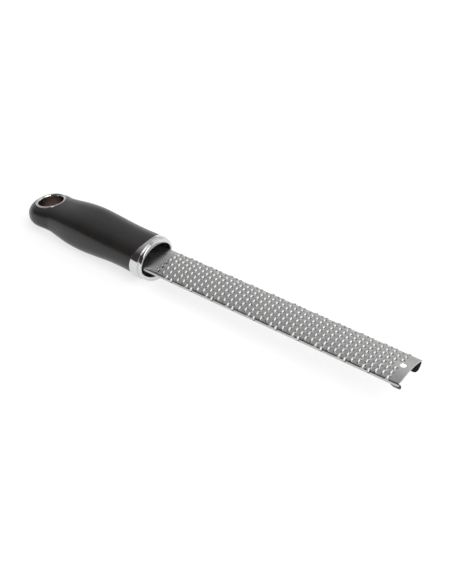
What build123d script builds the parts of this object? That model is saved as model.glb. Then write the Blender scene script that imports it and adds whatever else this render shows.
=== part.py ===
from build123d import *
import os
from math import asin, atan2, cos, degrees, pi, radians, sin, sqrt

# Rasp zester: an etched and folded steel blade held by a moulded handle behind a chrome collar.
# All sizes are in millimetres. The tool's own frame has its origin on the handle's axis at the collar's
# rim, with x towards the blade's tip, y across and z up out of the cutting face.

# Blade sheet
blade_width = 29.0
blade_reach = 200.0          # collar's rim to the tip
blade_rise = 2.2             # cutting face above the handle's axis
crown_radius = 42.0          # the cutting face is bowed across its width
sheet = 0.5
fold_radius = 2.6            # outside of the fold at each side
skirt_depth = 8.2            # cutting face down to the hem of the skirts
hem_radius = 1.6             # outside of the inward curl at the hem
hem_reach = 2.4              # how far the hem comes in from the side
ear_radius = 4.0             # rounded corner of each skirt at the tip
tip_hole_radius = 2.1
tip_hole_inset = 5.6
skirt_hold = 6.0             # length of the skirts inside the handle
tang_width = 20.0
tang_hold = 24.0             # length of the tang inside the handle
peg_radius = 2.0
peg_inset = 5.0              # end of the tang to the first hole
peg_spacing = 10.0

# Feet of soft plastic under the tip
foot_radius = 4.3
foot_length = 9.0
foot_drop = 9.4              # bottom of the feet below the handle's axis
foot_round = 1.6

# Teeth
tooth_rows = 43
row_pitch = 4.27
tooth_pitch = 4.41
first_row_inset = 9.15       # tip to the cutting edges of the first row
throat_length = 2.5          # opening in front of each cutting edge
tooth_half_width = 1.3
edge_half_width = 0.65       # flat middle of the cutting edge
edge_sweep = 0.85            # how far the shoulders of the edge lie ahead of its middle
lip_height = 0.55
lip_spread_share = 1.40      # outline of the lip's slope where it leaves the sheet
lip_crest_share = 1.10       # outline of the lip's crest
tip_margin = 4.3             # no tooth lies nearer than this to the tip hole's centre
row_shift_shares = (0.0, 0.5, 0.25, 0.75)
outer_column = 15.6          # farthest column along the bowed face and its fold

# Collar
collar_length = 10.5
band_length = 5.0            # rear band
groove_width = 0.6
groove_depth = 0.4
band_half_width = 17.9
band_half_height = 15.5
band_drop = 1.4              # centre of the band below the handle's axis
nose_half_width = 17.0
nose_half_height = 15.3
nose_drop = 1.6
mouth_half_width = 15.8
mouth_half_height = 11.4
mouth_drop = 2.6             # centre of the mouth below the handle's axis
mouth_draft = 0.4            # the mouth draws in this much down to its bottom
mouth_depth = 9.0
nose_shares = ((0.0, 1.0), (0.5, 0.94), (0.85, 0.74), (1.0, 0.42))

# Handle
grip_half_width = 17.7
grip_half_height = 14.35
grip_length = 105.2          # collar's rear edge to the end
grip_wall = 1.6
belly_share = 0.458          # place of the deepest section along the grip
oval_points = 12
core_sections = 13           # the core ends flat at this station

# Hanging hole
hang_radius = 9.2
hang_inset = 17.75           # end of the handle to the hole's axis
hang_lean = 9.0              # degrees, top of the axis leaning towards the end
hang_rise = 9.3              # top of the eyelet above the handle's axis
eyelet_wall = 1.0
flange_radius = 11.2
flange_thickness = 1.3
flange_round = 0.5

rest_flat = 0.3              # the collar and the belly are this much flattened where the tool lies

overrun = 5.0                # added to cuts so that they run clear of the surface

# Stations of the handle from the collar to the end: place along the grip, half-width, half-height and
# centre height as shares, then how square the oval is
station_shares = (
    (0.000, 0.977, 0.970, -0.042, 2.2),
    (0.097, 0.960, 0.945, -0.020, 2.2),
    (0.203, 0.965, 0.945, -0.000, 2.3),
    (0.326, 0.990, 0.975, 0.000, 2.5),
    (0.458, 1.000, 1.000, 0.000, 2.7),
    (0.590, 0.977, 0.934, -0.003, 2.7),
    (0.692, 0.905, 0.815, 0.007, 2.7),
    (0.745, 0.878, 0.745, 0.022, 2.7),
    (0.794, 0.915, 0.680, 0.035, 2.8),
    (0.841, 0.935, 0.640, 0.020, 2.9),
    (0.891, 0.900, 0.610, -0.010, 2.7),
    (0.937, 0.765, 0.565, -0.055, 2.4),
    (0.973, 0.540, 0.450, -0.090, 2.2),
    (0.991, 0.300, 0.280, -0.100, 2.1),
    (1.000, 0.120, 0.120, -0.100, 2.0),
)

# The tool lies on its collar and on the belly of its handle, with the tip in the air
belly_x = -collar_length - belly_share * grip_length
collar_foot = band_drop + band_half_height
lean = -atan2(collar_foot - grip_half_height, -collar_length - belly_x)
hem_z = blade_rise - skirt_depth
tip_run = blade_reach * cos(lean) + blade_rise * sin(lean)
back_run = (-collar_length - grip_length) * cos(lean)
rest_rise = belly_x * sin(lean) + grip_half_height * cos(lean) - rest_flat
origin = Vector(-(tip_run + back_run) / 2, 0, rest_rise)
along = Vector(cos(lean), 0, -sin(lean))
across = Vector(0, 1, 0)
upward = Vector(sin(lean), 0, cos(lean))
crown_z = blade_rise - crown_radius
fold_y = blade_width / 2 - fold_radius
fold_turn = asin(fold_y / (crown_radius - fold_radius))
fold_z = crown_z + (crown_radius - fold_radius) * cos(fold_turn)
hem_turn = pi / 2 + asin((hem_reach - hem_radius) / hem_radius)
hang_x = -collar_length - grip_length + hang_inset


def place(x, y, z):
    """Point of the tool's frame as the tool lies on the table."""
    return origin + along * x + across * y + upward * z


def cross_plane(x):
    """Plane square to the tool's length, its own x across and its own y up."""
    return Plane(origin=place(x, 0, 0), x_dir=across, z_dir=along)


def flat_plane(z):
    """Plane level with the cutting face, its own x towards the tip."""
    return Plane(origin=place(0, 0, z), x_dir=along, z_dir=upward)


def side_plane():
    """Plane along the middle of the tool, its own x towards the tip and its own y up."""
    return Plane(origin=place(0, 0, 0), x_dir=along, z_dir=-across)


def hang_plane(rise):
    """Plane square to the hanging hole's axis at a height above the handle's axis."""
    turn = radians(hang_lean)
    axis = upward * cos(turn) - along * sin(turn)
    centre = place(hang_x, 0, 0) + axis * rise
    return Plane(origin=centre, x_dir=along * cos(turn) + upward * sin(turn), z_dir=axis)


def below_table():
    """Block under the plane on which the tool lies."""
    with BuildPart() as block:
        with BuildSketch(Plane.XY):
            Rectangle(2 * blade_reach + 2 * grip_length, 2 * blade_width)
        extrude(amount=-grip_half_height)
    return block.part


def oval_sketch(plane, half_width, half_height, centre, squareness):
    """Closed curve between an ellipse and a rectangle."""
    points = []
    for i in range(oval_points):
        turn = 2 * pi * i / oval_points
        c, s = cos(turn), sin(turn)
        y = half_width * (abs(c) ** (2 / squareness)) * (1 if c > 0 else -1)
        z = half_height * (abs(s) ** (2 / squareness)) * (1 if s > 0 else -1)
        points.append((y, centre + z))
    with BuildSketch(plane) as oval:
        with BuildLine():
            Spline(*points, periodic=True)
        make_face()
    return oval.sketch


def grip_form(inset, stations):
    """Handle's outer form, or the form that lies a wall's thickness inside it."""
    sections = []
    for share, wide, high, rise, squareness in station_shares[:stations]:
        plane = cross_plane(-collar_length - share * grip_length)
        sections.append(oval_sketch(plane, wide * grip_half_width - inset,
                                    high * grip_half_height - inset,
                                    rise * grip_half_height, squareness))
    return loft(sections=sections, mode=Mode.PRIVATE)


def blade_blank():
    """Folded channel with its tang, before the teeth and the tip hole."""
    skirt_end = -mouth_depth - skirt_hold
    tang_end = -mouth_depth - tang_hold
    with BuildPart() as blank:
        with BuildSketch(cross_plane(skirt_end)):
            with BuildLine():
                crown = CenterArc((0, crown_z), crown_radius, 90, -degrees(fold_turn))
                fold = CenterArc((fold_y, fold_z), fold_radius, 90 - degrees(fold_turn),
                                 degrees(fold_turn) - 90)
                curl_centre = (blade_width / 2 - hem_radius, hem_z + hem_radius)
                hem = CenterArc(curl_centre, hem_radius, 0, -degrees(hem_turn))
                inner_hem = CenterArc(curl_centre, hem_radius - sheet, 0, -degrees(hem_turn))
                inner_fold = CenterArc((fold_y, fold_z), fold_radius - sheet,
                                       90 - degrees(fold_turn), degrees(fold_turn) - 90)
                inner_crown = CenterArc((0, crown_z), crown_radius - sheet, 90,
                                        -degrees(fold_turn))
                Line(fold @ 1, hem @ 0)
                Line(hem @ 1, inner_hem @ 1)
                Line(inner_hem @ 0, inner_fold @ 1)
                Line(inner_crown @ 0, crown @ 0)
            make_face()
            mirror(about=Plane.YZ)
        extrude(amount=blade_reach - skirt_end)
        # Rounded corner of each skirt at the tip
        with BuildSketch(side_plane()):
            with BuildLine():
                ear = CenterArc((blade_reach - ear_radius, hem_z + ear_radius), ear_radius, -90, 90)
                corner = (blade_reach + overrun, hem_z - overrun)
                Polyline(ear @ 1, (blade_reach + overrun, (ear @ 1).Y), corner,
                         ((ear @ 0).X, hem_z - overrun), ear @ 0)
            make_face()
        extrude(amount=blade_width, both=True, mode=Mode.SUBTRACT)
        # Tang with its two holes
        with BuildSketch(cross_plane(tang_end)):
            with BuildLine():
                half_turn = asin(tang_width / 2 / crown_radius)
                top = CenterArc((0, crown_z), crown_radius, 90 - degrees(half_turn),
                                2 * degrees(half_turn))
                bottom = CenterArc((0, crown_z), crown_radius - sheet, 90 - degrees(half_turn),
                                   2 * degrees(half_turn))
                Line(top @ 0, bottom @ 0)
                Line(top @ 1, bottom @ 1)
            make_face()
        extrude(amount=skirt_end - tang_end)
        with BuildSketch(flat_plane(blade_rise + overrun)):
            with Locations((tang_end + peg_inset, 0), (tang_end + peg_inset + peg_spacing, 0)):
                Circle(peg_radius)
        extrude(amount=-skirt_depth - overrun, mode=Mode.SUBTRACT)
    return blank.part


def tooth_places():
    """Planes that lie on the blade's outer surface at each tooth, and those on the folds."""
    fold_start = crown_radius * fold_turn
    fold_run = fold_radius * (pi / 2 - fold_turn)
    face, folds = [], []
    for row in range(tooth_rows):
        x = blade_reach - first_row_inset - row * row_pitch
        shift = row_shift_shares[row % len(row_shift_shares)] * tooth_pitch
        count = int(outer_column // tooth_pitch) + 1
        for column in range(-count, count + 1):
            run = column * tooth_pitch + shift
            if abs(run) > outer_column:
                continue
            gap = sqrt((x + throat_length / 2 - blade_reach + tip_hole_inset) ** 2 + run ** 2)
            if gap < tip_margin:
                continue
            side = 1 if run > 0 else -1
            if abs(run) < fold_start:
                turn = run / crown_radius
                y = crown_radius * sin(turn)
                z = crown_z + crown_radius * cos(turn)
            else:
                turn = side * min(pi / 2, fold_turn + (abs(run) - fold_start) / fold_radius)
                y = side * fold_y + fold_radius * sin(turn)
                z = fold_z + fold_radius * cos(turn) - max(0, abs(run) - fold_start - fold_run)
            normal = upward * cos(turn) + across * sin(turn)
            tooth = Plane(origin=place(x, y, z), x_dir=along, z_dir=normal)
            if abs(run) + lip_spread_share * tooth_half_width < fold_start:
                face.append(tooth)
            else:
                folds.append(tooth)
    return face, folds


def opening(share):
    """Outline of an opening, grown about its middle."""
    outline = ((0, edge_half_width), (edge_sweep, tooth_half_width), (throat_length, tooth_half_width),
               (throat_length, -tooth_half_width), (edge_sweep, -tooth_half_width), (0, -edge_half_width))
    middle = throat_length / 2
    return [(middle + share * (x - middle), share * y) for x, y in outline]


def tooth_lip():
    """Raised lip around the back of one opening, before the opening is cut."""
    with BuildPart() as lip:
        with BuildSketch(Plane.XY.offset(-sheet / 2)):
            Polygon(*opening(lip_spread_share), align=None)
        with BuildSketch(Plane.XY.offset(lip_height)):
            Polygon(*opening(lip_crest_share), align=None)
        loft(ruled=True)
        # The lip fades away towards the front of the opening
        back = -lip_spread_share * throat_length
        with BuildSketch(Plane.XZ):
            Polygon((back, lip_height), (edge_sweep, lip_height), (throat_length, -sheet / 2),
                    (throat_length + overrun, -sheet / 2), (throat_length + overrun, overrun),
                    (back, overrun), align=None)
        extrude(amount=tooth_half_width + overrun, both=True, mode=Mode.SUBTRACT)
    return lip.part


def make_grater_blade():
    """Channel with a raised cutting lip behind every opening, and plain openings along the folds."""
    face, folds = tooth_places()
    lip = tooth_lip()
    blank = blade_blank()
    with BuildPart() as grater_blade:
        add(blank)
        with Locations(*face):
            add(lip)
        with BuildSketch(*[tooth.offset(lip_height + sheet) for tooth in face]):
            Polygon(*opening(1), align=None)
        extrude(amount=-lip_height - 3 * sheet, mode=Mode.SUBTRACT)
        with BuildSketch(*[tooth.offset(sheet) for tooth in folds]):
            Polygon(*opening(1), align=None)
        extrude(amount=-3 * sheet, mode=Mode.SUBTRACT)
        with BuildSketch(flat_plane(blade_rise + overrun)):
            with Locations((blade_reach - tip_hole_inset, 0)):
                Circle(tip_hole_radius)
        extrude(amount=-skirt_depth - overrun, mode=Mode.SUBTRACT)
    return grater_blade.part


def make_tip_foot(side):
    """Soft foot tucked between the face, the skirt and the hem at the tip."""
    blank = blade_blank()
    centre = (side * (blade_width / 2 - sheet - foot_radius), foot_radius - foot_drop)
    with BuildPart() as tip_foot:
        with BuildSketch(cross_plane(blade_reach - foot_length)):
            with Locations(centre):
                Circle(foot_radius)
        extrude(amount=foot_length)
        fillet(tip_foot.edges().filter_by(GeomType.CIRCLE), foot_round)
        add(blank, mode=Mode.SUBTRACT)
    return tip_foot.part


def collar_oval(x, growth):
    """Section of the collar's nose, between the mouth's size and the nose's full size."""
    wide = mouth_half_width + growth * (nose_half_width - mouth_half_width)
    high = mouth_half_height + growth * (nose_half_height - mouth_half_height)
    drop = mouth_drop + growth * (nose_drop - mouth_drop)
    with BuildSketch(cross_plane(x)) as section:
        with Locations((0, -drop)):
            Ellipse(wide, high)
    return section.sketch


def mouth_form():
    """Hollow of the collar: the drafted mouth, then the seat of the handle core."""
    with BuildPart() as hollow:
        with BuildSketch(cross_plane(0)):
            with Locations((0, -mouth_drop)):
                Ellipse(mouth_half_width, mouth_half_height)
        with BuildSketch(cross_plane(-mouth_depth)):
            with Locations((0, -mouth_drop)):
                Ellipse(mouth_half_width - mouth_draft, mouth_half_height - mouth_draft)
        loft()
        with BuildSketch(cross_plane(-collar_length)):
            with Locations((0, -mouth_drop)):
                Ellipse(mouth_half_width - mouth_draft, mouth_half_height - mouth_draft)
        extrude(amount=collar_length - mouth_depth)
    return hollow.part


def make_collar():
    """Chromed ring with a rear band, a groove and a rounded nose around the mouth."""
    nose_length = collar_length - band_length - groove_width
    nose = [collar_oval(-nose_length * (1 - run), growth) for run, growth in nose_shares]
    hollow = mouth_form()
    table = below_table()
    with BuildPart() as collar:
        with BuildSketch(cross_plane(-collar_length)):
            with Locations((0, -band_drop)):
                Ellipse(band_half_width, band_half_height)
        extrude(amount=band_length)
        with BuildSketch(cross_plane(-nose_length - groove_width)):
            with Locations((0, -nose_drop)):
                Ellipse(nose_half_width - groove_depth, nose_half_height - groove_depth)
        extrude(amount=groove_width)
        loft(sections=nose)
        add(hollow, mode=Mode.SUBTRACT)
        add(table, mode=Mode.SUBTRACT)
    return collar.part


def make_handle_core():
    """Rigid body of the handle, moulded around the blade's tang and skirts."""
    form = grip_form(grip_wall, core_sections)
    blank = blade_blank()
    with BuildPart() as handle_core:
        add(form)
        with BuildSketch(cross_plane(-collar_length)):
            with Locations((0, -mouth_drop)):
                Ellipse(mouth_half_width - mouth_draft, mouth_half_height - mouth_draft)
        extrude(amount=collar_length - mouth_depth)
        add(blank, mode=Mode.SUBTRACT)
        with BuildSketch(hang_plane(hang_rise)):
            Circle(hang_radius + eyelet_wall)
        extrude(amount=-2 * hang_rise - overrun, mode=Mode.SUBTRACT)
    return handle_core.part


def make_grip_cover():
    """Soft cover moulded over the core, closed at the end and pierced by the hanging hole."""
    form = grip_form(0, len(station_shares))
    inside = grip_form(grip_wall, core_sections)
    table = below_table()
    with BuildPart() as grip_cover:
        add(form)
        add(inside, mode=Mode.SUBTRACT)
        with BuildSketch(hang_plane(hang_rise + overrun)):
            Circle(hang_radius + eyelet_wall)
        extrude(amount=-2 * hang_rise - 2 * overrun, mode=Mode.SUBTRACT)
        with BuildSketch(hang_plane(hang_rise - flange_thickness)):
            Circle(flange_radius)
        extrude(amount=flange_thickness + overrun, mode=Mode.SUBTRACT)
        add(table, mode=Mode.SUBTRACT)
    return grip_cover.part


def make_hanging_eyelet():
    """Chromed liner of the hanging hole, with a rounded flange let into the top of the handle."""
    top = hang_plane(hang_rise)
    form = grip_form(0, len(station_shares))
    with BuildPart() as hanging_eyelet:
        with BuildSketch(hang_plane(hang_rise - flange_thickness)):
            Circle(hang_radius + eyelet_wall)
            Circle(hang_radius, mode=Mode.SUBTRACT)
        extrude(amount=-2 * hang_rise - overrun)
        add(form, mode=Mode.INTERSECT)
        with BuildSketch(Plane(origin=top.origin, x_dir=top.x_dir, z_dir=-top.y_dir)):
            with BuildLine():
                crest = hang_radius + eyelet_wall
                Polyline((crest, 0), (flange_radius - flange_round, 0))
                outer = CenterArc((flange_radius - flange_round, -flange_round), flange_round, 0, 90)
                Polyline(outer @ 0, (flange_radius, -flange_thickness),
                         (hang_radius, -flange_thickness), (hang_radius, -eyelet_wall))
                CenterArc((crest, -eyelet_wall), eyelet_wall, 90, 90)
            make_face()
        revolve(axis=Axis(top.origin, top.z_dir))
    return hanging_eyelet.part


os.makedirs("parts", exist_ok=True)

grater_blade = make_grater_blade()
grater_blade.label = "grater_blade"
export_step(grater_blade, "parts/grater_blade.step")

tip_foot_near = make_tip_foot(-1)
tip_foot_near.label = "tip_foot_near"
export_step(tip_foot_near, "parts/tip_foot_near.step")

tip_foot_far = make_tip_foot(1)
tip_foot_far.label = "tip_foot_far"
export_step(tip_foot_far, "parts/tip_foot_far.step")

collar = make_collar()
collar.label = "collar"
export_step(collar, "parts/collar.step")

handle_core = make_handle_core()
handle_core.label = "handle_core"
export_step(handle_core, "parts/handle_core.step")

grip_cover = make_grip_cover()
grip_cover.label = "grip_cover"
export_step(grip_cover, "parts/grip_cover.step")

hanging_eyelet = make_hanging_eyelet()
hanging_eyelet.label = "hanging_eyelet"
export_step(hanging_eyelet, "parts/hanging_eyelet.step")
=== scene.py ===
import math

import bpy
import numpy as np
from bpy.props import FloatProperty, FloatVectorProperty, IntProperty, PointerProperty
from mathutils import Matrix, Vector


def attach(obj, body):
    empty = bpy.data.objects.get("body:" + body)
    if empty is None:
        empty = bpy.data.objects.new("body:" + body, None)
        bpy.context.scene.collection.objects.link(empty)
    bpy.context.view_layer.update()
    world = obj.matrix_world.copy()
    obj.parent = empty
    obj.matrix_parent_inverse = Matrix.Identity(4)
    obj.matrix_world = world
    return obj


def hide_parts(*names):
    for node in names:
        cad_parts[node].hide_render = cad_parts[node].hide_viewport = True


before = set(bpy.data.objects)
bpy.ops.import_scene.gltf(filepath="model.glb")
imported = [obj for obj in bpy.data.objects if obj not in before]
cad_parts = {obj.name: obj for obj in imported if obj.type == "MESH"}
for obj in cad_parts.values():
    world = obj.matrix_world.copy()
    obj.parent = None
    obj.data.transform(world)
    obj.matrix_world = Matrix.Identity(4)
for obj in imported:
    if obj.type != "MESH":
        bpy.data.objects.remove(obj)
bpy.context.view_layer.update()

bl_info = {
    "name": "Rasp Zester",
    "version": (1, 0, 0),
    "blender": (4, 5, 0),
    "location": "View3D > Sidebar > Zester",
    "description": "Etched steel blade, chrome collar and soft grip of a rasp zester",
    "category": "Add Mesh",
}

MM = 0.001

# Stations of the handle: place along the grip, half-width, half-height and centre height as shares,
# then how square the oval is
GRIP_STATIONS = (
    (0.000, 0.977, 0.970, -0.042, 2.2),
    (0.097, 0.960, 0.945, -0.020, 2.2),
    (0.203, 0.965, 0.945, 0.000, 2.3),
    (0.326, 0.990, 0.975, 0.000, 2.5),
    (0.458, 1.000, 1.000, 0.000, 2.7),
    (0.590, 0.977, 0.934, -0.003, 2.7),
    (0.692, 0.905, 0.815, 0.007, 2.7),
    (0.745, 0.878, 0.745, 0.022, 2.7),
    (0.794, 0.915, 0.680, 0.035, 2.8),
    (0.841, 0.935, 0.640, 0.020, 2.9),
    (0.891, 0.900, 0.610, -0.010, 2.7),
    (0.937, 0.765, 0.565, -0.055, 2.4),
    (0.973, 0.540, 0.450, -0.090, 2.2),
    (0.991, 0.300, 0.280, -0.100, 2.1),
    (1.000, 0.120, 0.120, -0.100, 2.0),
)
# Where along the grip the belly lies
BELLY_SHARE = 0.458
# Length behind the collar over which the grip's front follows the collar's edge, in millimetres
SWEEP_LENGTH = 26.0

# Shift of the rows of teeth across the blade, in tooth pitches, over a cycle of four rows
ROW_SHIFTS = (0.0, 0.5, 0.25, 0.75)
# Squareness of a tooth's opening, where 2 is an ellipse
OPENING_POWER = 2.3
# Teeth keep this far from the middle of the tip hole, in millimetres
HOLE_CLEARANCE = 4.3
# Length over which the skirts draw back at the tip, in millimetres
EAR_RUN = 6.0
# Share of the sheet's thickness that is shown
SHEET_SHARE = 0.8
# Mesh cells in one pitch
CELLS = 12

# Ovals of the collar: half-width, half-height and centre height, in millimetres
COLLAR_BAND = (17.9, 15.5, -1.4)
COLLAR_FULL = (17.2, 15.3, -1.5)
COLLAR_CREST = (16.5, 13.6, -1.7)
COLLAR_MOUTH = (15.6, 11.0, -1.7)
COLLAR_FLOOR = (15.4, 11.0, -2.6)
# Edges of the collar: place along the tool, and how far it moves forward, in millimetres
REAR_EDGE = (-9.4, 5.2)
GROOVE_EDGE = (-2.1, 1.3)
FRONT_EDGE = (0.6, 2.8)

# Lean of the hanging hole in degrees, then radii of its liner and of the hole in the grip
HANG_LEAN = 9.0
LINER_RADIUS, FLANGE_RADIUS = 10.05, 11.2
BORE_RADIUS, RECESS_RADIUS = 10.1, 11.25

# Light that the floor adds where it is seen, and the share of its colour that is lit there
FLOOR_GLOW = 0.74
FLOOR_SHARE = 0.42
FLOOR_HALF = 3.0


def length(name, description, default):
    """A size in millimetres that the sidebar shows."""
    return FloatProperty(name=name, description=description, default=default, min=0.0, precision=2)


class ZesterBladeSizes(bpy.types.PropertyGroup):
    """Sizes of the blade in millimetres"""
    width: length("Width", "Across the folded blade, in millimetres", 29.0)
    reach: length("Reach", "From the collar's rim to the tip, in millimetres", 200.0)
    rise: length("Rise", "Cutting face above the handle's axis, in millimetres", 2.2)
    crown: length("Crown radius", "Bow of the cutting face, in millimetres", 42.0)
    sheet: length("Sheet", "Thickness of the steel, in millimetres", 0.5)
    fold: length("Fold radius", "Outside of the fold, in millimetres", 1.7)
    depth: length("Skirt depth", "Cutting face to the skirts' lower edge, in millimetres", 4.6)
    ear: length("Ear radius", "Corner of the skirts at the tip, in millimetres", 1.6)
    hole_radius: length("Tip hole radius", "Radius of the hole near the tip, in millimetres", 2.1)
    hole_inset: length("Tip hole inset", "Tip to the hole's centre, in millimetres", 5.6)
    inside: length("Hidden length", "Blade inside the collar, in millimetres", 8.9)


class ZesterToothSizes(bpy.types.PropertyGroup):
    """Sizes of the teeth in millimetres"""
    rows: IntProperty(name="Rows", description="Rows of teeth", default=43, min=1)
    row_pitch: length("Row pitch", "From row to row, in millimetres", 4.27)
    pitch: length("Tooth pitch", "From tooth to tooth, in millimetres", 4.41)
    first: length("First row", "Tip to the first cutting edges, in millimetres", 9.15)
    throat: length("Opening", "Length of each opening, in millimetres", 2.5)
    half_width: length("Half-width", "Half the width of each opening, in millimetres", 1.42)
    lip: length("Lip", "Height of the raised edge, in millimetres", 0.55)
    pocket: length("Pocket", "Depth of the etched pocket before each edge, in millimetres", 0.35)
    slit: FloatProperty(name="Slit", description="Front of the slit, from -1 at the edge to 1",
                        default=-0.45)
    reach: length("Outer column", "Farthest column from the middle, in millimetres", 14.6)


class ZesterFootSizes(bpy.types.PropertyGroup):
    """Sizes of the feet under the tip"""
    length: length("Length", "Along the blade, in millimetres", 7.2)
    drop: length("Height", "From the skirt to the foot's lower edge, in millimetres", 8.0)
    thickness: length("Thickness", "Of each foot, in millimetres", 1.3)
    place: length("Place", "From the collar's rim to the foot's front, in millimetres", 199.9)
    top_y: length("Top place", "From the middle to the foot's top, in millimetres", 13.5)
    top_drop: length("Top drop", "Foot's top below the handle's axis, in millimetres", 1.3)
    slope: FloatProperty(name="Slope", description="Of each foot from level, in degrees",
                         default=58.0)


class ZesterHandleSizes(bpy.types.PropertyGroup):
    """Sizes of the collar, grip and eyelet in millimetres"""
    collar: length("Collar length", "Length of the collar, in millimetres", 10.5)
    half_width: length("Grip half-width", "At the belly, in millimetres", 17.7)
    half_height: length("Grip half-height", "At the belly, in millimetres", 14.35)
    grip: length("Grip length", "Collar to the end, in millimetres", 105.2)
    hang_radius: length("Hanging hole", "Radius of the hanging hole, in millimetres", 9.2)
    hang_inset: length("Hole inset", "End of the grip to the hole, in millimetres", 17.75)
    hang_rise: length("Hole rise", "Top of the eyelet above the axis, in millimetres", 9.3)
    foot_drop: length("Collar foot", "Underside of the collar below the axis, in millimetres", 16.9)
    flat: length("Flattening", "Of what the tool lies on, in millimetres", 0.3)


def colour(name, description, default):
    """A colour that the sidebar shows."""
    return FloatVectorProperty(name=name, description=description, default=default, subtype="COLOR",
                               size=4, min=0.0, max=1.0)


class ZesterFinish(bpy.types.PropertyGroup):
    """Colours of the finishes"""
    steel: colour("Steel", "Colour of the etched blade", (0.505, 0.50, 0.492, 1.0))
    chrome: colour("Chrome", "Colour of the collar and eyelet", (0.66, 0.66, 0.665, 1.0))
    grip: colour("Grip", "Colour of the soft cover", (0.0225, 0.0210, 0.0203, 1.0))
    foot: colour("Foot", "Colour of the feet under the tip", (0.010, 0.009, 0.009, 1.0))
    core: colour("Core", "Colour of the rigid core", (0.012, 0.012, 0.013, 1.0))
    floor: colour("Floor", "Colour of the floor", (0.90, 0.90, 0.90, 1.0))


def rest_frame():
    """Origin and directions of the tool as it lies on its collar and its belly."""
    blade, handle = bpy.context.scene.zester_blade, bpy.context.scene.zester_handle
    belly_x = -handle.collar - BELLY_SHARE * handle.grip
    lean = -math.atan2(handle.foot_drop - handle.half_height, -handle.collar - belly_x)
    tip_run = blade.reach * math.cos(lean) + blade.rise * math.sin(lean)
    back_run = (-handle.collar - handle.grip) * math.cos(lean)
    belly_z = belly_x * math.sin(lean) + handle.half_height * math.cos(lean) - handle.flat
    origin = np.array([-(tip_run + back_run) / 2, 0.0, belly_z])
    along = np.array([math.cos(lean), 0.0, -math.sin(lean)])
    upward = np.array([math.sin(lean), 0.0, math.cos(lean)])
    return origin, along, np.array([0.0, 1.0, 0.0]), upward


def to_row(points):
    """Points of the tool's own frame in millimetres, as metres in the shared frame."""
    origin, along, across, upward = rest_frame()
    p = np.asarray(points, float)
    row = origin + p[..., 0:1] * along + p[..., 1:2] * across + p[..., 2:3] * upward
    return row * MM


def laid(points):
    """Points in the shared frame, with what would be under the table pressed flat on it."""
    row = to_row(points)
    row[..., 2] = np.maximum(row[..., 2], 0.0)
    return row


def make_piece(name, points, faces, node, material):
    """Mesh object from the tool's frame that stands for a CAD node."""
    mesh = bpy.data.meshes.new(name)
    mesh.from_pydata([tuple(p) for p in laid(points)], [], faces)
    mesh.validate()
    mesh.update()
    mesh.shade_smooth()
    mesh.materials.append(material)
    piece = bpy.data.objects.new(name, mesh)
    bpy.context.scene.collection.objects.link(piece)
    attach(piece, "root")
    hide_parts(node)
    return piece


def grid_faces(rows, columns):
    """Quads between rings of points."""
    faces = []
    for i in range(rows - 1):
        for j in range(columns):
            k = (j + 1) % columns
            faces.append((i * columns + j, i * columns + k,
                          (i + 1) * columns + k, (i + 1) * columns + j))
    return faces


def capped(rings):
    """Points and faces of a row of rings, each end closed round its middle point."""
    around = len(rings[0])
    row = (len(rings) - 1) * around
    last, first = row + around, row + around + 1
    points = np.concatenate(rings + [rings[-1].mean(0, keepdims=True),
                                     rings[0].mean(0, keepdims=True)])
    faces = grid_faces(len(rings), around)
    for j in range(around):
        k = (j + 1) % around
        faces.append((row + j, row + k, last))
        faces.append((k, j, first))
    return points, faces


def circle(around):
    """Even angles round a ring."""
    return np.linspace(0, 2 * math.pi, around, endpoint=False)


# Materials

def new_material(name):
    """Empty node material with a shader and its output."""
    material = bpy.data.materials.new(name)
    material.use_nodes = True
    nodes, links = material.node_tree.nodes, material.node_tree.links
    nodes.clear()
    out = nodes.new("ShaderNodeOutputMaterial")
    shader = nodes.new("ShaderNodeBsdfPrincipled")
    links.new(shader.outputs["BSDF"], out.inputs["Surface"])
    return material, nodes, links, shader


def noise(nodes, links, stretch, scale, detail=2.0):
    """Noise over the surface, stretched along each direction."""
    coords = nodes.new("ShaderNodeTexCoord")
    mapping = nodes.new("ShaderNodeMapping")
    mapping.inputs["Scale"].default_value = stretch
    texture = nodes.new("ShaderNodeTexNoise")
    texture.inputs["Scale"].default_value = scale
    texture.inputs["Detail"].default_value = detail
    links.new(coords.outputs["Object"], mapping.inputs["Vector"])
    links.new(mapping.outputs["Vector"], texture.inputs["Vector"])
    return texture


def span(nodes, links, value, low, high):
    """A value from 0 to 1 spread over another range."""
    ranged = nodes.new("ShaderNodeMapRange")
    ranged.inputs["From Min"].default_value = 0.3
    ranged.inputs["From Max"].default_value = 0.7
    ranged.inputs["To Min"].default_value = low
    ranged.inputs["To Max"].default_value = high
    links.new(value, ranged.inputs["Value"])
    return ranged.outputs["Result"]


def tint(nodes, links, value, dark, light):
    """Colour that runs between two tones."""
    ramp = nodes.new("ShaderNodeValToRGB")
    ramp.color_ramp.elements[0].position = 0.3
    ramp.color_ramp.elements[0].color = dark
    ramp.color_ramp.elements[1].position = 0.7
    ramp.color_ramp.elements[1].color = light
    links.new(value, ramp.inputs["Fac"])
    return ramp.outputs["Color"]


def bump(nodes, links, height, distance, strength, shader):
    """Fine relief on the surface."""
    node = nodes.new("ShaderNodeBump")
    node.inputs["Distance"].default_value = distance
    node.inputs["Strength"].default_value = strength
    links.new(height, node.inputs["Height"])
    links.new(node.outputs["Normal"], shader.inputs["Normal"])


def shade(base, factor):
    """Lighter or darker tone of a colour."""
    return tuple(min(1.0, c * factor) for c in base[:3]) + (1.0,)


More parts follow.
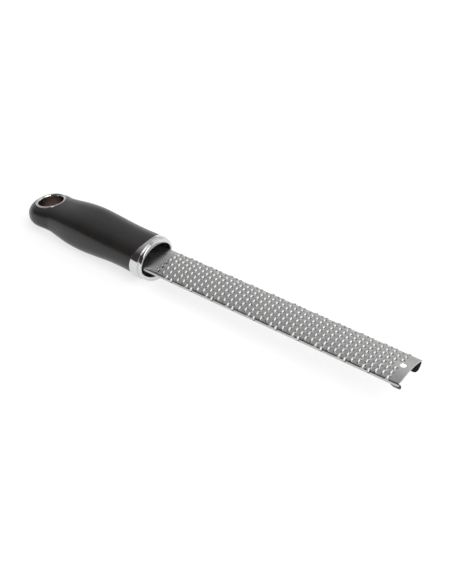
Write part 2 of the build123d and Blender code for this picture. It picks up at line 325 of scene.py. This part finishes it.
def steel_material():
    """Etched stainless sheet with fine lengthwise grain and cloudy roughness."""
    base = tuple(bpy.context.scene.zester_finish.steel)
    material, nodes, links, shader = new_material("etched_steel")
    shader.inputs["Metallic"].default_value = 1.0
    grain = noise(nodes, links, (0.06, 1.0, 1.0), 2600.0, 3.0)
    cloud = noise(nodes, links, (1.0, 1.0, 1.0), 90.0, 3.0)
    links.new(tint(nodes, links, grain.outputs["Fac"], shade(base, 0.90), shade(base, 1.08)),
              shader.inputs["Base Color"])
    links.new(span(nodes, links, cloud.outputs["Fac"], 0.27, 0.37), shader.inputs["Roughness"])
    bump(nodes, links, grain.outputs["Fac"], 0.00003, 0.35, shader)
    return material


def edge_highlight_material():
    """Cut edges of the sheet, a little smoother than the face, with a lighter copy of the steel
    colour as a painted highlight.
    """
    # Steel colour lightened 1.65 times: painted highlight on the cut edges
    base = shade(tuple(bpy.context.scene.zester_finish.steel), 1.65)
    material, nodes, links, shader = new_material("cut_edge_painted_highlight")
    shader.inputs["Metallic"].default_value = 1.0
    cloud = noise(nodes, links, (1.0, 1.0, 1.0), 900.0, 2.0)
    links.new(tint(nodes, links, cloud.outputs["Fac"], shade(base, 0.85), shade(base, 1.1)),
              shader.inputs["Base Color"])
    links.new(span(nodes, links, cloud.outputs["Fac"], 0.2, 0.3), shader.inputs["Roughness"])
    return material


def chrome_material():
    """Bright plating with faint swirls from polishing."""
    base = tuple(bpy.context.scene.zester_finish.chrome)
    material, nodes, links, shader = new_material("polished_chrome")
    shader.inputs["Metallic"].default_value = 1.0
    swirl = noise(nodes, links, (1.0, 1.0, 1.0), 160.0, 4.0)
    links.new(tint(nodes, links, swirl.outputs["Fac"], shade(base, 0.96), shade(base, 1.02)),
              shader.inputs["Base Color"])
    links.new(span(nodes, links, swirl.outputs["Fac"], 0.06, 0.11), shader.inputs["Roughness"])
    bump(nodes, links, swirl.outputs["Fac"], 0.0002, 0.03, shader)
    return material


def bore_painted_shade_material():
    """Duller metal inside the hanging hole, darkened and warmed as painted shade of the hole."""
    material, nodes, links, shader = new_material("bore_painted_shade")
    shader.inputs["Metallic"].default_value = 1.0
    cloud = noise(nodes, links, (1.0, 1.0, 1.0), 180.0, 3.0)
    # Dark warm tones: painted shade inside the hole, not the metal's own colour
    dark, light = (0.20, 0.155, 0.14, 1.0), (0.30, 0.24, 0.215, 1.0)
    links.new(tint(nodes, links, cloud.outputs["Fac"], dark, light), shader.inputs["Base Color"])
    links.new(span(nodes, links, cloud.outputs["Fac"], 0.24, 0.34), shader.inputs["Roughness"])
    bump(nodes, links, cloud.outputs["Fac"], 0.0001, 0.2, shader)
    return material


def grip_material():
    """Soft black cover with a fine moulded grain."""
    base = tuple(bpy.context.scene.zester_finish.grip)
    material, nodes, links, shader = new_material("soft_grip")
    shader.inputs["Specular IOR Level"].default_value = 0.42
    grain = noise(nodes, links, (1.0, 1.0, 1.0), 3200.0, 2.0)
    cloud = noise(nodes, links, (1.0, 1.0, 1.0), 45.0, 3.0)
    links.new(tint(nodes, links, cloud.outputs["Fac"], shade(base, 0.88), shade(base, 1.15)),
              shader.inputs["Base Color"])
    links.new(span(nodes, links, cloud.outputs["Fac"], 0.25, 0.31), shader.inputs["Roughness"])
    bump(nodes, links, grain.outputs["Fac"], 0.00004, 0.5, shader)
    return material


def foot_material():
    """Soft black plastic of the feet under the tip."""
    base = tuple(bpy.context.scene.zester_finish.foot)
    material, nodes, links, shader = new_material("soft_foot")
    shader.inputs["Specular IOR Level"].default_value = 0.3
    grain = noise(nodes, links, (1.0, 1.0, 1.0), 2400.0, 2.0)
    cloud = noise(nodes, links, (1.0, 1.0, 1.0), 220.0, 2.0)
    links.new(tint(nodes, links, cloud.outputs["Fac"], shade(base, 0.85), shade(base, 1.2)),
              shader.inputs["Base Color"])
    links.new(span(nodes, links, cloud.outputs["Fac"], 0.42, 0.52), shader.inputs["Roughness"])
    bump(nodes, links, grain.outputs["Fac"], 0.00004, 0.4, shader)
    return material


def core_material():
    """Rigid black plastic, a little uneven from the mould."""
    base = tuple(bpy.context.scene.zester_finish.core)
    material, nodes, links, shader = new_material("moulded_core")
    shader.inputs["Specular IOR Level"].default_value = 0.35
    cloud = noise(nodes, links, (1.0, 1.0, 1.0), 300.0, 3.0)
    links.new(tint(nodes, links, cloud.outputs["Fac"], shade(base, 0.8), shade(base, 1.25)),
              shader.inputs["Base Color"])
    links.new(span(nodes, links, cloud.outputs["Fac"], 0.45, 0.6), shader.inputs["Roughness"])
    bump(nodes, links, cloud.outputs["Fac"], 0.0001, 0.2, shader)
    return material


# Blade

def blade_profile():
    """Lengths round the blade's section and the function that gives a point of it."""
    b = bpy.context.scene.zester_blade
    crown_z = b.rise - b.crown
    fold_y = b.width / 2 - b.fold
    fold_turn = math.asin(fold_y / (b.crown - b.fold))
    fold_z = crown_z + (b.crown - b.fold) * math.cos(fold_turn)
    face = b.crown * fold_turn
    bend = face + b.fold * (math.pi / 2 - fold_turn)
    end = bend + fold_z - (b.rise - b.depth)

    def point(run):
        side, s = np.sign(run), np.abs(run)
        turn = np.where(s <= face, s / b.crown,
                        np.where(s <= bend, fold_turn + (s - face) / b.fold, math.pi / 2))
        y = np.where(s <= face, b.crown * np.sin(turn), fold_y + b.fold * np.sin(turn))
        z = np.where(s <= face, crown_z + b.crown * np.cos(turn),
                     fold_z + b.fold * np.cos(turn) - np.maximum(s - bend, 0.0))
        return side * y, z, side * np.sin(turn), np.cos(turn)

    return face, bend, end, point


def tooth_centres():
    """Row line and column of every tooth: lengthwise place, place along the section."""
    b, t = bpy.context.scene.zester_blade, bpy.context.scene.zester_tooth
    places = []
    for row in range(t.rows):
        x = b.reach - t.first - row * t.row_pitch
        shift = ROW_SHIFTS[row % 4] * t.pitch
        for column in range(-5, 6):
            run = column * t.pitch + shift
            apart = math.hypot(x + t.throat / 2 - b.reach + b.hole_inset, run)
            if abs(run) <= t.reach and apart >= HOLE_CLEARANCE:
                places.append((x, run))
    return places


def smoothstep(x):
    """Soft step from 0 to 1."""
    x = np.clip(x, 0.0, 1.0)
    return x * x * (3 - 2 * x)


def build_blade():
    """Folded sheet with openings, raised lips, rounded ears and the tip hole."""
    b, t = bpy.context.scene.zester_blade, bpy.context.scene.zester_tooth
    face, bend, end, point = blade_profile()
    step_x, step_s = t.row_pitch / CELLS, t.pitch / CELLS
    first = b.reach - t.first
    count_back = int((first + b.inside) / step_x)
    count_front = int(t.first / step_x)
    xs = first + step_x * np.arange(-count_back, count_front + 1)
    xs[-1], xs[0] = b.reach, -b.inside
    inner = step_s * np.arange(0, int(bend / step_s) + 1)
    outer = np.linspace(bend, end, 5)
    half = np.concatenate([inner[inner < bend - step_s / 2], outer])
    ss = np.concatenate([-half[:0:-1], half])
    X, S = np.meshgrid(xs, ss, indexing="ij")
    H = np.zeros_like(X)
    gone = np.zeros((len(xs) - 1, len(ss) - 1), bool)
    XC = (X[1:, 1:] + X[:-1, :-1]) / 2
    SC = (S[1:, 1:] + S[:-1, :-1]) / 2
    moved_x, moved_s = X.copy(), S.copy()

    def cut(cx, cs, rx, rs, power, lip, slit):
        """Opens one hole up to the slit's front and raises the lip behind it."""
        i0, i1 = np.clip(np.searchsorted(xs, [cx - 2.2 * rx, cx + 2.2 * rx]), 1, len(xs) - 1)
        j0, j1 = np.clip(np.searchsorted(ss, [cs - 2.2 * rs, cs + 2.2 * rs]), 1, len(ss) - 1)
        box = (slice(i0, i1), slice(j0, j1))
        a, c = (X[box] - cx) / rx, (S[box] - cs) / rs
        rho = (np.abs(a) ** power + np.abs(c) ** power) ** (1 / power)
        ac, cc = (XC[box] - cx) / rx, (SC[box] - cs) / rs
        hole = ((np.abs(ac) ** power + np.abs(cc) ** power) ** (1 / power) < 1.0) & (ac < slit)
        gone[box] |= hole
        touch = np.zeros_like(rho, bool)
        kept = np.zeros_like(rho, bool)
        for di in (0, 1):
            for dj in (0, 1):
                part = gone[i0 - di:i1 - di, j0 - dj:j1 - dj]
                touch |= part
                kept |= ~part
        rim = touch & kept & (rho > 0.5) & (rho < 1.6) & ((a < slit - 0.1) | (rho > 0.9))
        scale = np.where(rim, 1 / np.maximum(rho, 0.2), 1.0)
        moved_x[box] = np.where(rim, cx + a * rx * scale, moved_x[box])
        moved_s[box] = np.where(rim, cs + c * rs * scale, moved_s[box])
        if lip > 0:
            r = np.where(rim, 1.0, rho)
            back = -a / np.maximum(np.hypot(a, c), 1e-6)
            rise = lip * smoothstep((back + 0.5) / 1.0) * smoothstep((1.75 - r) / 0.75)
            floor = smoothstep((1.0 - rho) / 0.3) * smoothstep((1.0 - a) / (1.0 - slit))
            pocket = -t.pocket * floor
            H[box] = np.where((rho < 1.0) & ~rim & (a > slit - 0.15), pocket,
                              np.maximum(H[box], np.where(rho > 0.5, rise, 0.0)))

    for x, run in tooth_centres():
        cut(x + t.throat / 2, run, t.throat / 2, t.half_width, OPENING_POWER, t.lip, t.slit)
    cut(b.reach - b.hole_inset, 0.0, b.hole_radius, b.hole_radius, 2.0, 0.0, 2.0)

    # Rounded ears: the skirts draw back at the tip
    Y, Z, NY, NZ = point(moved_s)
    low = b.rise - b.depth
    drop = np.clip((low + b.ear - Z) / b.ear, 0.0, 1.0)
    back = b.ear * (1 - np.sqrt(1 - drop ** 2))
    pull = np.clip((moved_x - (b.reach - EAR_RUN)) / EAR_RUN, 0.0, 1.0)
    moved_x = moved_x - back * pull * (np.abs(moved_s) > face)
    points = np.stack([moved_x, Y + NY * H, Z + NZ * H], -1).reshape(-1, 3)
    columns = len(ss)
    faces = []
    for i in range(len(xs) - 1):
        for j in range(columns - 1):
            if not gone[i, j]:
                faces.append((i * columns + j, (i + 1) * columns + j,
                              (i + 1) * columns + j + 1, i * columns + j + 1))
    used = np.unique(np.array(faces).ravel())
    remap = np.full(len(points), -1)
    remap[used] = np.arange(len(used))
    faces = [tuple(int(v) for v in remap[list(f)]) for f in faces]
    piece = make_piece("etched_blade", points[used], faces, "grater_blade",
                       steel_material())
    solid = piece.modifiers.new("Sheet", "SOLIDIFY")
    solid.thickness = b.sheet * SHEET_SHARE * MM
    solid.offset = -1.0
    solid.use_even_offset = False
    # The rims of the sheet take the painted highlight material
    piece.data.materials.append(edge_highlight_material())
    solid.material_offset_rim = 1


# Feet

def build_feet():
    """Thin D-shaped feet that slope inwards from the skirts under the tip."""
    f = bpy.context.scene.zester_foot
    turn = circle(96)
    power = 2 / 3.2
    run = f.length / 2 * np.sign(np.cos(turn)) * np.abs(np.cos(turn)) ** power
    fall = np.sign(np.sin(turn)) * np.abs(np.sin(turn)) ** power
    fall = np.where(fall > 0, 1 + fall * (f.drop - 1), 1 + fall)
    slope = math.radians(f.slope)
    half = f.thickness / 2
    # How far each ring is drawn in, and its place through the thickness
    layers = ((0.40, -half), (0.12, -0.82 * half), (0.0, -0.45 * half),
              (0.0, 0.45 * half), (0.12, 0.82 * half), (0.40, half))
    finish = foot_material()
    for side, node in ((-1, "tip_foot_near"), (1, "tip_foot_far")):
        rings = []
        for inset, out in layers:
            x = f.place - (f.length / 2 - run) + run * (-inset / f.length)
            v = fall + (f.drop / 2 - fall) * inset / f.drop * 2
            y = f.top_y - v * math.cos(slope) + out * math.sin(slope)
            z = -f.top_drop - v * math.sin(slope) - out * math.cos(slope)
            rings.append(np.stack([x, side * y, z], -1))
        points, faces = capped(rings)
        if side > 0:
            faces = [tuple(reversed(face)) for face in faces]
        make_piece("soft_" + node, points, faces, node, finish)


# Collar

def collar_edges(turn):
    """Where the collar's rear edge and groove run round it: both come forward over the top."""
    top = np.maximum(np.sin(turn), 0.0) ** 2
    return REAR_EDGE[0] + REAR_EDGE[1] * top, GROOVE_EDGE[0] + GROOVE_EDGE[1] * top


def less(oval, d):
    """Oval drawn in by a distance."""
    return (oval[0] - d, oval[1] - d, oval[2])


def between(inner, outer, share):
    """Oval between two others."""
    return tuple(i + share * (o - i) for o, i in zip(outer, inner))


def build_collar():
    """Oval ring with a rear band, a groove, a rounded nose and a drafted mouth."""
    h = bpy.context.scene.zester_handle
    turn = circle(180)
    rear, groove = collar_edges(turn)
    front = FRONT_EDGE[0] + FRONT_EDGE[1] * np.maximum(-np.sin(turn), 0.0) ** 2
    flat = np.full(len(turn), 1.0)

    def quarter(steps):
        return np.linspace(0, math.pi / 2, steps)

    # Rear face, the band with its rounded edges, and the groove
    sections = [(-h.collar * flat, less(COLLAR_FLOOR, -0.02)),
                (rear + 0.4, less(COLLAR_BAND, 1.5)), (rear, less(COLLAR_BAND, 0.3))]
    for a in quarter(6):
        sections.append((rear + 0.3 * (1 - math.cos(a)),
                         less(COLLAR_BAND, 0.3 * (1 - math.sin(a)))))
    for a in quarter(7):
        sections.append((groove - 0.4 - 0.45 * (1 - math.sin(a)),
                         less(COLLAR_BAND, 0.45 * (1 - math.cos(a)))))
    sections += [(groove - 0.4, less(COLLAR_FULL, 0.35)), (groove, less(COLLAR_FULL, 0.4))]
    # Nose, its turn into the mouth, and the wall of the mouth
    for a in quarter(34)[1:]:
        sections.append((groove + math.sin(a) ** 0.7 * (front - groove),
                         between(COLLAR_CREST, COLLAR_FULL, math.cos(a) ** 0.7)))
    for a in quarter(10)[1:]:
        sections.append((front - 0.9 * (1 - math.cos(a)),
                         between(COLLAR_MOUTH, COLLAR_CREST, 1 - math.sin(a))))
    sections += [(-1.2 * flat, less(COLLAR_MOUTH, 0.03)), (-5.0 * flat, less(COLLAR_MOUTH, 0.1)),
                 (-8.85 * flat, less(COLLAR_FLOOR, -0.04)),
                 (-h.collar * flat, less(COLLAR_FLOOR, -0.02))]
    points = [np.stack([x, wide * np.cos(turn), centre + high * np.sin(turn)], -1)
              for x, (wide, high, centre) in sections]
    make_piece("chrome_collar", np.concatenate(points), grid_faces(len(sections), len(turn)),
               "collar", chrome_material())


# Grip

def station(share):
    """Half-width, half-height, centre and squareness of the grip at a place along it."""
    table = np.array(GRIP_STATIONS)
    at = table[:, 0]
    out = []
    for column in range(1, 5):
        values = table[:, column]
        slopes = np.gradient(values, at)
        k = int(np.clip(np.searchsorted(at, share) - 1, 0, len(at) - 2))
        span_x = at[k + 1] - at[k]
        u = (share - at[k]) / span_x
        h00, h10 = 2 * u ** 3 - 3 * u ** 2 + 1, u ** 3 - 2 * u ** 2 + u
        h01, h11 = -2 * u ** 3 + 3 * u ** 2, u ** 3 - u ** 2
        out.append(h00 * values[k] + h10 * span_x * slopes[k] + h01 * values[k + 1]
                   + h11 * span_x * slopes[k + 1])
    return out


def grip_ring(share, turn):
    """Ring of points round the grip."""
    h = bpy.context.scene.zester_handle
    wide, high, rise, square = station(share)
    c, s = np.cos(turn), np.sin(turn)
    y = wide * h.half_width * np.sign(c) * np.abs(c) ** (2 / square)
    z = high * h.half_height * np.sign(s) * np.abs(s) ** (2 / square) + rise * h.half_height
    x = np.full(len(turn), -h.collar - share * h.grip)
    forward = collar_edges(turn)[0] + h.collar
    x += forward * max(0.0, 1.0 - share * h.grip / SWEEP_LENGTH) ** 2
    return np.stack([x, y, z], -1)


def hang_axis():
    """Point on the hanging hole's axis, and the axis and one side of it as directions."""
    h = bpy.context.scene.zester_handle
    lean = math.radians(HANG_LEAN)
    return (np.array([-h.collar - h.grip + h.hang_inset, 0.0, 0.0]),
            np.array([-math.sin(lean), 0.0, math.cos(lean)]),
            np.array([math.cos(lean), 0.0, math.sin(lean)]))


def hang_rings(profile, around):
    """Rings round the hanging hole's axis from radii and heights."""
    centre, axis, radial = hang_axis()
    turn = circle(around)
    direction = np.cos(turn)[:, None] * radial + np.sin(turn)[:, None] * np.array([0.0, 1.0, 0.0])
    return [centre + axis * height + radius * direction for radius, height in profile]


def pierce(piece):
    """Cuts the hole and the flange's recess through the head of the grip."""
    h = bpy.context.scene.zester_handle
    around = 128
    profile = [(BORE_RADIUS, -25.0), (BORE_RADIUS, h.hang_rise - 1.2),
               (RECESS_RADIUS, h.hang_rise - 1.2), (RECESS_RADIUS, 20.0)]
    points = to_row(np.concatenate(hang_rings(profile, around)))
    faces = grid_faces(len(profile), around)
    faces.append(tuple(range(around - 1, -1, -1)))
    faces.append(tuple(range(3 * around, 4 * around)))
    mesh = bpy.data.meshes.new("hole_cutter")
    mesh.from_pydata([tuple(p) for p in points], [], faces)
    cutter = bpy.data.objects.new("hole_cutter", mesh)
    bpy.context.scene.collection.objects.link(cutter)
    hole = piece.modifiers.new("Hanging hole", "BOOLEAN")
    hole.operation, hole.solver, hole.object = "DIFFERENCE", "EXACT", cutter
    bpy.context.view_layer.update()
    graph = bpy.context.evaluated_depsgraph_get()
    pierced = bpy.data.meshes.new_from_object(piece.evaluated_get(graph))
    piece.modifiers.clear()
    piece.data = pierced
    bpy.data.objects.remove(cutter)
    if len(pierced.polygons) < 1000:
        raise RuntimeError("the hanging hole couldn't be cut in the grip")


def build_grip():
    """Soft cover: smooth ovals from the collar to the rounded head, pierced for the eyelet."""
    h = bpy.context.scene.zester_handle
    turn = circle(128)
    head = 0.94 + 0.06 * np.sin(np.linspace(0, 1, 22)[1:] * math.pi / 2)
    rings = [grip_ring(share, turn) for share in list(np.linspace(0, 0.94, 110)) + list(head)]
    # The front is closed behind the collar's mouth
    inner = rings[0] * np.array([1.0, 0.955, 0.955])
    seat = inner.copy()
    seat[:, 0] = -h.collar - 0.05
    points, faces = capped([seat, inner] + rings)
    piece = make_piece("soft_grip_cover", points, faces, "grip_cover",
                       grip_material())
    pierce(piece)


# Eyelet

def build_eyelet():
    """Chromed liner with a rounded flange, cut off flush below."""
    h = bpy.context.scene.zester_handle
    axis = hang_axis()[1]
    around = 128
    top, bore, low = h.hang_rise, h.hang_radius, -5.0
    profile = [(LINER_RADIUS, top - 1.25), (FLANGE_RADIUS - 0.02, top - 1.25),
               (FLANGE_RADIUS, top - 0.5)]
    for k in range(1, 9):
        a = k / 8 * math.pi / 2
        profile.append((FLANGE_RADIUS - 0.55 * (1 - math.cos(a)), top - 0.5 + 0.5 * math.sin(a)))
    for k in range(0, 13):
        a = k / 12 * math.pi / 2
        profile.append((bore + 1.1 * (1 - math.sin(a)), top - 1.6 * (1 - math.cos(a))))
    profile += [(bore, top - 3.5), (bore, 0.0), (bore, low)]
    rings = hang_rings(profile, around)
    # Both walls end just inside the grip's underside
    for ring in hang_rings([(bore, low), (LINER_RADIUS, low)], around):
        foot = []
        for p in ring:
            share = float(np.clip((-p[0] - h.collar) / h.grip, 0, 1))
            wide, high, rise, square = station(share)
            y = min(abs(p[1]) / (wide * h.half_width), 0.98)
            z = h.half_height * (rise - high * (1 - y ** square) ** (1 / square))
            foot.append(p - axis * (p[2] - z - 0.05) / axis[2])
        rings.append(np.array(foot))
    rings.append(rings[0])
    piece = make_piece("chrome_eyelet", np.concatenate(rings), grid_faces(len(rings), around),
                       "hanging_eyelet", chrome_material())
    # The wall of the hole is duller than the flange and painted darker as shade inside the hole
    piece.data.materials.append(bore_painted_shade_material())
    for face in piece.data.polygons:
        if len(profile) - 4 <= face.index // around < len(profile):
            face.material_index = 1


# Stage

def camera_axes(azimuth, elevation):
    """Backward, right and up directions of a camera, in the tool's frame."""
    a, e = math.radians(azimuth), math.radians(elevation)
    back = np.array([math.sin(a) * math.cos(e), -math.cos(a) * math.cos(e), math.sin(e)])
    right = np.array([math.cos(a), math.sin(a), 0.0])
    return back, right, np.cross(back, right)


def build_camera():
    """Camera above the near side of the tool, turned towards the tip."""
    scale, azimuth, elevation, distance = 1.05, 37.05, 36.58, 706.9
    shift_x, shift_y, focal = -13.50, 9.79, 1109.2
    back, right, up = camera_axes(azimuth, elevation)
    target, middle = np.array([-150.0, 0.0, 0.0]), np.array([190.5, 0.0, 2.1])
    place = target + back * distance - right * shift_x - up * shift_y
    place = (place + middle) * scale
    along, across, upward = rest_frame()[1:]

    def turned(v):
        return Vector(v[0] * along + v[1] * across + v[2] * upward)

    data = bpy.data.cameras.new("camera")
    camera = bpy.data.objects.new("camera", data)
    bpy.context.scene.collection.objects.link(camera)
    rotation = Matrix((turned(right), turned(up), turned(back))).transposed().to_4x4()
    camera.matrix_world = Matrix.Translation(Vector(to_row(place))) @ rotation
    data.sensor_fit = "AUTO"
    data.sensor_width = 36.0
    data.lens = focal * 36.0 / 584.0
    data.clip_start, data.clip_end = 0.05, 20.0
    bpy.context.scene.camera = camera


def build_floor():
    """Plain pale floor that shows white to the camera and keeps the tool's shadow."""
    material, nodes, links, shader = new_material("pale_floor")
    tone = tuple(bpy.context.scene.zester_finish.floor)
    shader.inputs["Roughness"].default_value = 0.9
    shader.inputs["Specular IOR Level"].default_value = 0.0
    out = nodes["Material Output"]
    path = nodes.new("ShaderNodeLightPath")
    glow = nodes.new("ShaderNodeEmission")
    glow.inputs["Color"].default_value = (1.0, 1.0, 1.0, 1.0)
    seen = nodes.new("ShaderNodeMath")
    seen.operation = "MAXIMUM"
    links.new(path.outputs["Is Camera Ray"], seen.inputs[0])
    links.new(path.outputs["Is Glossy Ray"], seen.inputs[1])
    through = nodes.new("ShaderNodeMath")
    through.operation = "MAXIMUM"
    links.new(seen.outputs["Value"], through.inputs[0])
    links.new(path.outputs["Is Transmission Ray"], through.inputs[1])
    level = nodes.new("ShaderNodeMath")
    level.operation = "MULTIPLY"
    level.inputs[1].default_value = FLOOR_GLOW
    links.new(through.outputs["Value"], level.inputs[0])
    links.new(level.outputs["Value"], glow.inputs["Strength"])
    plain = nodes.new("ShaderNodeMix")
    plain.data_type = "RGBA"
    plain.inputs[6].default_value = tone
    plain.inputs[7].default_value = shade(tone, FLOOR_SHARE)
    links.new(through.outputs["Value"], plain.inputs[0])
    links.new(plain.outputs[2], shader.inputs["Base Color"])
    both = nodes.new("ShaderNodeAddShader")
    links.new(shader.outputs["BSDF"], both.inputs[0])
    links.new(glow.outputs["Emission"], both.inputs[1])
    links.new(both.outputs["Shader"], out.inputs["Surface"])
    mesh = bpy.data.meshes.new("floor")
    r = FLOOR_HALF
    mesh.from_pydata([(-r, -r, 0), (r, -r, 0), (r, r, 0), (-r, r, 0)], [], [(0, 1, 2, 3)])
    mesh.materials.append(material)
    floor = bpy.data.objects.new("floor", mesh)
    bpy.context.scene.collection.objects.link(floor)


def soft_lamp(name, place, size, power):
    """Large rectangular soft lamp that points at the middle."""
    data = bpy.data.lights.new(name, "AREA")
    data.shape = "RECTANGLE"
    data.size, data.size_y = size
    data.energy = power
    lamp = bpy.data.objects.new(name, data)
    bpy.context.scene.collection.objects.link(lamp)
    lamp.location = place
    lamp.rotation_euler = (-Vector(place)).to_track_quat("-Z", "Y").to_euler()


def build_light():
    """Plain soft light: white low down all round, a grey room above, darker on the near side."""
    world = bpy.data.worlds.new("studio")
    bpy.context.scene.world = world
    world.use_nodes = True
    nodes, links = world.node_tree.nodes, world.node_tree.links
    nodes.clear()
    out = nodes.new("ShaderNodeOutputWorld")
    room = nodes.new("ShaderNodeBackground")
    coords = nodes.new("ShaderNodeTexCoord")
    split = nodes.new("ShaderNodeSeparateXYZ")
    links.new(coords.outputs["Generated"], split.inputs["Vector"])
    # The near side is darker above a low white band, the far side is grey above a higher one
    side = nodes.new("ShaderNodeMath")
    side.operation = "MULTIPLY_ADD"
    side.inputs[1].default_value = 0.45
    links.new(split.outputs["Z"], side.inputs[0])
    links.new(split.outputs["Y"], side.inputs[2])
    depth = nodes.new("ShaderNodeMapRange")
    depth.inputs["From Min"].default_value = -0.30
    depth.inputs["From Max"].default_value = 0.50
    links.new(side.outputs["Value"], depth.inputs["Value"])
    rise = nodes.new("ShaderNodeMath")
    rise.operation = "MULTIPLY_ADD"
    rise.inputs[1].default_value = -0.16
    links.new(depth.outputs["Result"], rise.inputs[0])
    links.new(split.outputs["Z"], rise.inputs[2])
    height = nodes.new("ShaderNodeMapRange")
    height.inputs["From Min"].default_value = 0.0
    height.inputs["From Max"].default_value = 0.07
    links.new(rise.outputs["Value"], height.inputs["Value"])
    upper = nodes.new("ShaderNodeMix")
    upper.data_type = "RGBA"
    upper.inputs[6].default_value = (0.055, 0.048, 0.044, 1.0)
    upper.inputs[7].default_value = (0.52, 0.52, 0.53, 1.0)
    links.new(depth.outputs["Result"], upper.inputs[0])
    whole = nodes.new("ShaderNodeMix")
    whole.data_type = "RGBA"
    whole.inputs[6].default_value = (0.95, 0.95, 0.95, 1.0)
    links.new(height.outputs["Result"], whole.inputs[0])
    links.new(upper.outputs[2], whole.inputs[7])
    links.new(whole.outputs[2], room.inputs["Color"])
    links.new(room.outputs["Background"], out.inputs["Surface"])
    soft_lamp("key_lamp", (0.80, -0.42, 1.28), (1.4, 1.4), 17.0)
    soft_lamp("back_lamp", (0.20, 1.20, 1.10), (1.6, 1.2), 3.5)


class ZESTER_OT_blade(bpy.types.Operator):
    """Builds the etched and folded blade"""
    bl_idname = "zester.blade"
    bl_label = "Blade"

    def execute(self, context):
        build_blade()
        return {"FINISHED"}


class ZESTER_OT_feet(bpy.types.Operator):
    """Builds the two soft feet under the tip"""
    bl_idname = "zester.feet"
    bl_label = "Feet"

    def execute(self, context):
        build_feet()
        return {"FINISHED"}


class ZESTER_OT_collar(bpy.types.Operator):
    """Builds the chrome collar"""
    bl_idname = "zester.collar"
    bl_label = "Collar"

    def execute(self, context):
        build_collar()
        return {"FINISHED"}


class ZESTER_OT_grip(bpy.types.Operator):
    """Builds the soft grip and finishes the core inside it"""
    bl_idname = "zester.grip"
    bl_label = "Grip"

    def execute(self, context):
        build_grip()
        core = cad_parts["handle_core"]
        core.data.materials.clear()
        core.data.materials.append(core_material())
        return {"FINISHED"}


class ZESTER_OT_eyelet(bpy.types.Operator):
    """Builds the chromed liner of the hanging hole"""
    bl_idname = "zester.eyelet"
    bl_label = "Eyelet"

    def execute(self, context):
        build_eyelet()
        return {"FINISHED"}


class ZESTER_OT_stage(bpy.types.Operator):
    """Sets the floor, the light and the camera"""
    bl_idname = "zester.stage"
    bl_label = "Stage"

    def execute(self, context):
        context.scene.view_settings.view_transform = "Standard"
        build_camera()
        build_floor()
        build_light()
        return {"FINISHED"}


class ZESTER_PT_panel(bpy.types.Panel):
    """Sizes, finishes and pieces of the zester"""
    bl_idname = "ZESTER_PT_panel"
    bl_label = "Rasp Zester"
    bl_space_type = "VIEW_3D"
    bl_region_type = "UI"
    bl_category = "Zester"

    def draw(self, context):
        layout = self.layout
        for group in GROUPS:
            settings = getattr(context.scene, group)
            box = layout.box()
            for name in settings.__annotations__:
                box.prop(settings, name)
        for operator in OPERATORS:
            layout.operator(operator.bl_idname)


GROUPS = {"zester_blade": ZesterBladeSizes, "zester_tooth": ZesterToothSizes,
          "zester_foot": ZesterFootSizes, "zester_handle": ZesterHandleSizes,
          "zester_finish": ZesterFinish}
OPERATORS = (ZESTER_OT_stage, ZESTER_OT_blade, ZESTER_OT_feet, ZESTER_OT_collar, ZESTER_OT_grip,
             ZESTER_OT_eyelet)


CLASSES = tuple(GROUPS.values()) + OPERATORS + (ZESTER_PT_panel,)


def register():
    for cls in CLASSES:
        bpy.utils.register_class(cls)
    for name, group in GROUPS.items():
        setattr(bpy.types.Scene, name, PointerProperty(type=group))


def unregister():
    for name in GROUPS:
        delattr(bpy.types.Scene, name)
    for cls in reversed(CLASSES):
        bpy.utils.unregister_class(cls)


def main():
    register()
    bpy.ops.zester.stage()
    bpy.ops.zester.blade()
    bpy.ops.zester.feet()
    bpy.ops.zester.collar()
    bpy.ops.zester.grip()
    bpy.ops.zester.eyelet()


if __name__ == "__main__":
    main()
